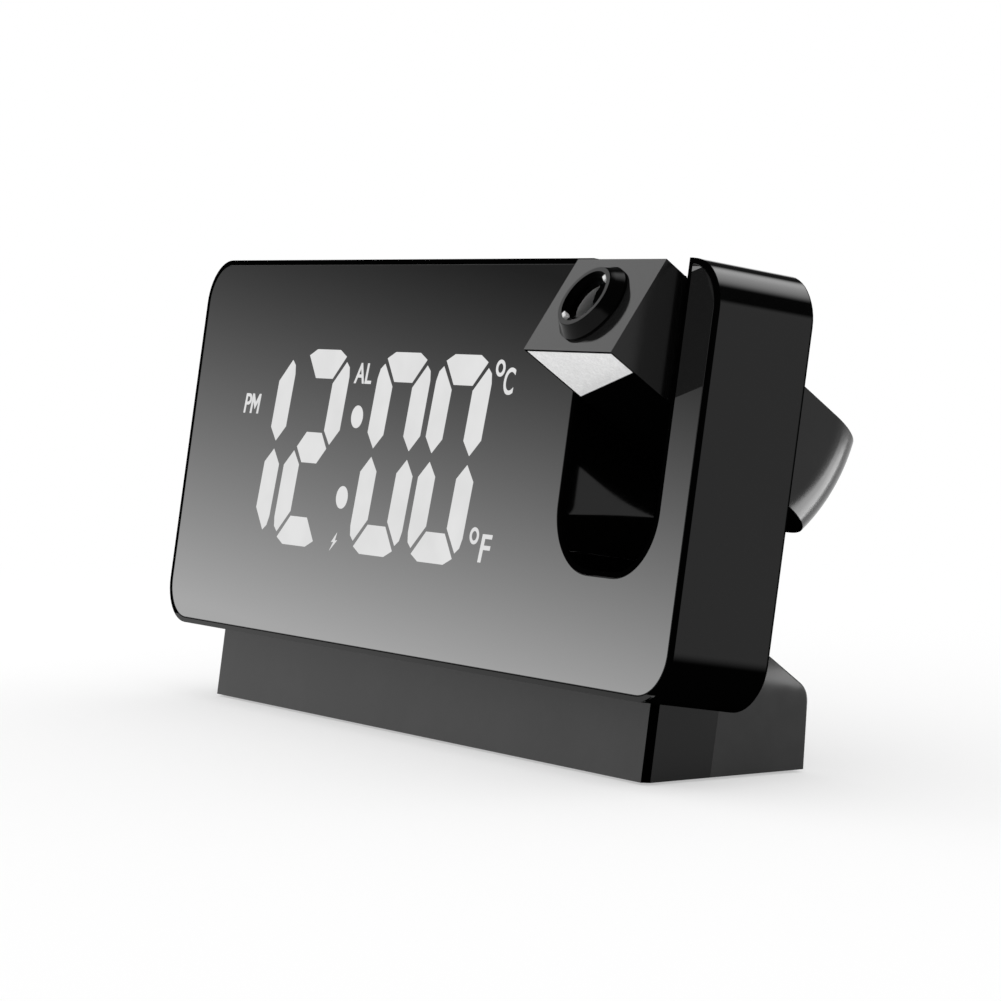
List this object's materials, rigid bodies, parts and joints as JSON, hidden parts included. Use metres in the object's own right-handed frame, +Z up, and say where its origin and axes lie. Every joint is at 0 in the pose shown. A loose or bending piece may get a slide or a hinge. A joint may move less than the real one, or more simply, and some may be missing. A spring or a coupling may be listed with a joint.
{
  "type": "projection alarm clock",
  "caption": "Leaning mirror-faced digital alarm clock on a stand, with a tilting projector arm in a slot.",
  "frame": {"origin": "under the middle of the whole clock, on the surface that its rubber feet rest on", "axes": "+Z up, +X from the display towards the projector slot, the mirror faces -Y"},
  "size_m": [0.186, 0.0569, 0.0916],
  "materials": {
    "housing_black": "polished black",
    "mirror_black": "half-silvered smoked mirror",
    "cover_black": "fine texture black",
    "stand_black": "satin gloss black",
    "arm_black": "polished black",
    "arm_mirror": "silvered strip",
    "ring_black": "gloss black",
    "lens_glass": "clear",
    "diffuser_white": "translucent white",
    "light_box_white": "white",
    "board_green": "solder mask",
    "led_white": "resin",
    "button_black": "satin",
    "foot_rubber": "matte",
    "steel": "zinc plated",
    "spring_steel": "spring temper",
    "acetal": "natural acetal",
    "inner_black": "matte",
    "switch_black": "matte",
    "port_steel": "tinned",
    "cell_steel": "nickel plated",
    "contact_brass": "plated",
    "speaker_black": "matte"
  },
  "bodies": {
    "clock": {"front_housing": "housing_black", "mirror_plate": "mirror_black", "rear_cover": "cover_black", "rear_cover_screws": "steel", "display_diffuser": "diffuser_white", "display_light_box": "light_box_white", "display_leds": "led_white", "display_board": "board_green", "main_board": "board_green", "board_spacers": "acetal", "board_screws": "steel", "tact_switches": "switch_black", "speaker": "speaker_black", "snooze_board": "board_green", "snooze_switches": "switch_black", "pivot_bush_left": "acetal", "pivot_bush_right": "acetal", "friction_washers": "spring_steel", "stand_front_shell": "stand_black", "stand_rear_shell": "stand_black", "stand_bottom_plate": "inner_black", "bottom_plate_screws": "steel", "stand_to_body_screws": "steel", "rubber_feet": "foot_rubber", "port_board": "board_green", "usb_port": "port_steel", "power_socket": "inner_black", "battery_holder": "inner_black", "coin_cell": "cell_steel", "battery_contacts": "contact_brass", "battery_door": "inner_black", "battery_door_screw": "steel"},
    "arm": {"arm_housing": "arm_black", "arm_lid": "arm_black", "arm_screws": "steel", "arm_mirror_strip": "arm_mirror", "lens_barrel": "inner_black", "rear_lens": "lens_glass", "optics_frame": "inner_black", "lcd_panel": "lens_glass", "condenser_lens": "lens_glass", "led_board": "board_green", "projection_led": "led_white", "pivot_pin_left": "steel", "pivot_pin_right": "steel", "retaining_clips": "spring_steel"},
    "focus_ring": {"focus_ring": "ring_black", "front_lens": "lens_glass", "lens_lock_ring": "ring_black"},
    "snooze_button": {"snooze_button": "housing_black"},
    "mode_button": {"mode_button": "button_black"},
    "up_button": {"up_button": "button_black"},
    "down_button": {"down_button": "button_black"},
    "alarm_button": {"alarm_button": "button_black"},
    "projector_button": {"projector_button": "button_black"}
  },
  "joints": [
    {"name": "projector_tilt", "type": "hinge", "parent": "clock", "child": "arm", "pos_m": [0.0682, -0.00406, 0.06985], "axis": [-1, 0, 0], "range_deg": [-27, 153]},
    {"name": "focus_turn", "type": "hinge", "parent": "arm", "child": "focus_ring", "pos_m": [0.0682, -0.00406, 0.06985], "axis": [0, -0.809, 0.5878], "range_deg": [-60, 60]},
    {"name": "snooze_press", "type": "slide", "parent": "clock", "child": "snooze_button", "axis": [0, -0.1564, -0.9877], "range_m": [0, 0.0005], "stiffness_N_per_m": 600},
    {"name": "mode_press", "type": "slide", "parent": "clock", "child": "mode_button", "axis": [0, -0.9877, 0.1564], "range_m": [0, 0.0005], "stiffness_N_per_m": 400},
    {"name": "up_press", "type": "slide", "parent": "clock", "child": "up_button", "axis": [0, -0.9877, 0.1564], "range_m": [0, 0.0005], "stiffness_N_per_m": 400},
    {"name": "down_press", "type": "slide", "parent": "clock", "child": "down_button", "axis": [0, -0.9877, 0.1564], "range_m": [0, 0.0005], "stiffness_N_per_m": 400},
    {"name": "alarm_press", "type": "slide", "parent": "clock", "child": "alarm_button", "axis": [0, -0.9877, 0.1564], "range_m": [0, 0.0005], "stiffness_N_per_m": 400},
    {"name": "projector_press", "type": "slide", "parent": "clock", "child": "projector_button", "axis": [0, -0.9877, 0.1564], "range_m": [0, 0.0005], "stiffness_N_per_m": 400}
  ]
}
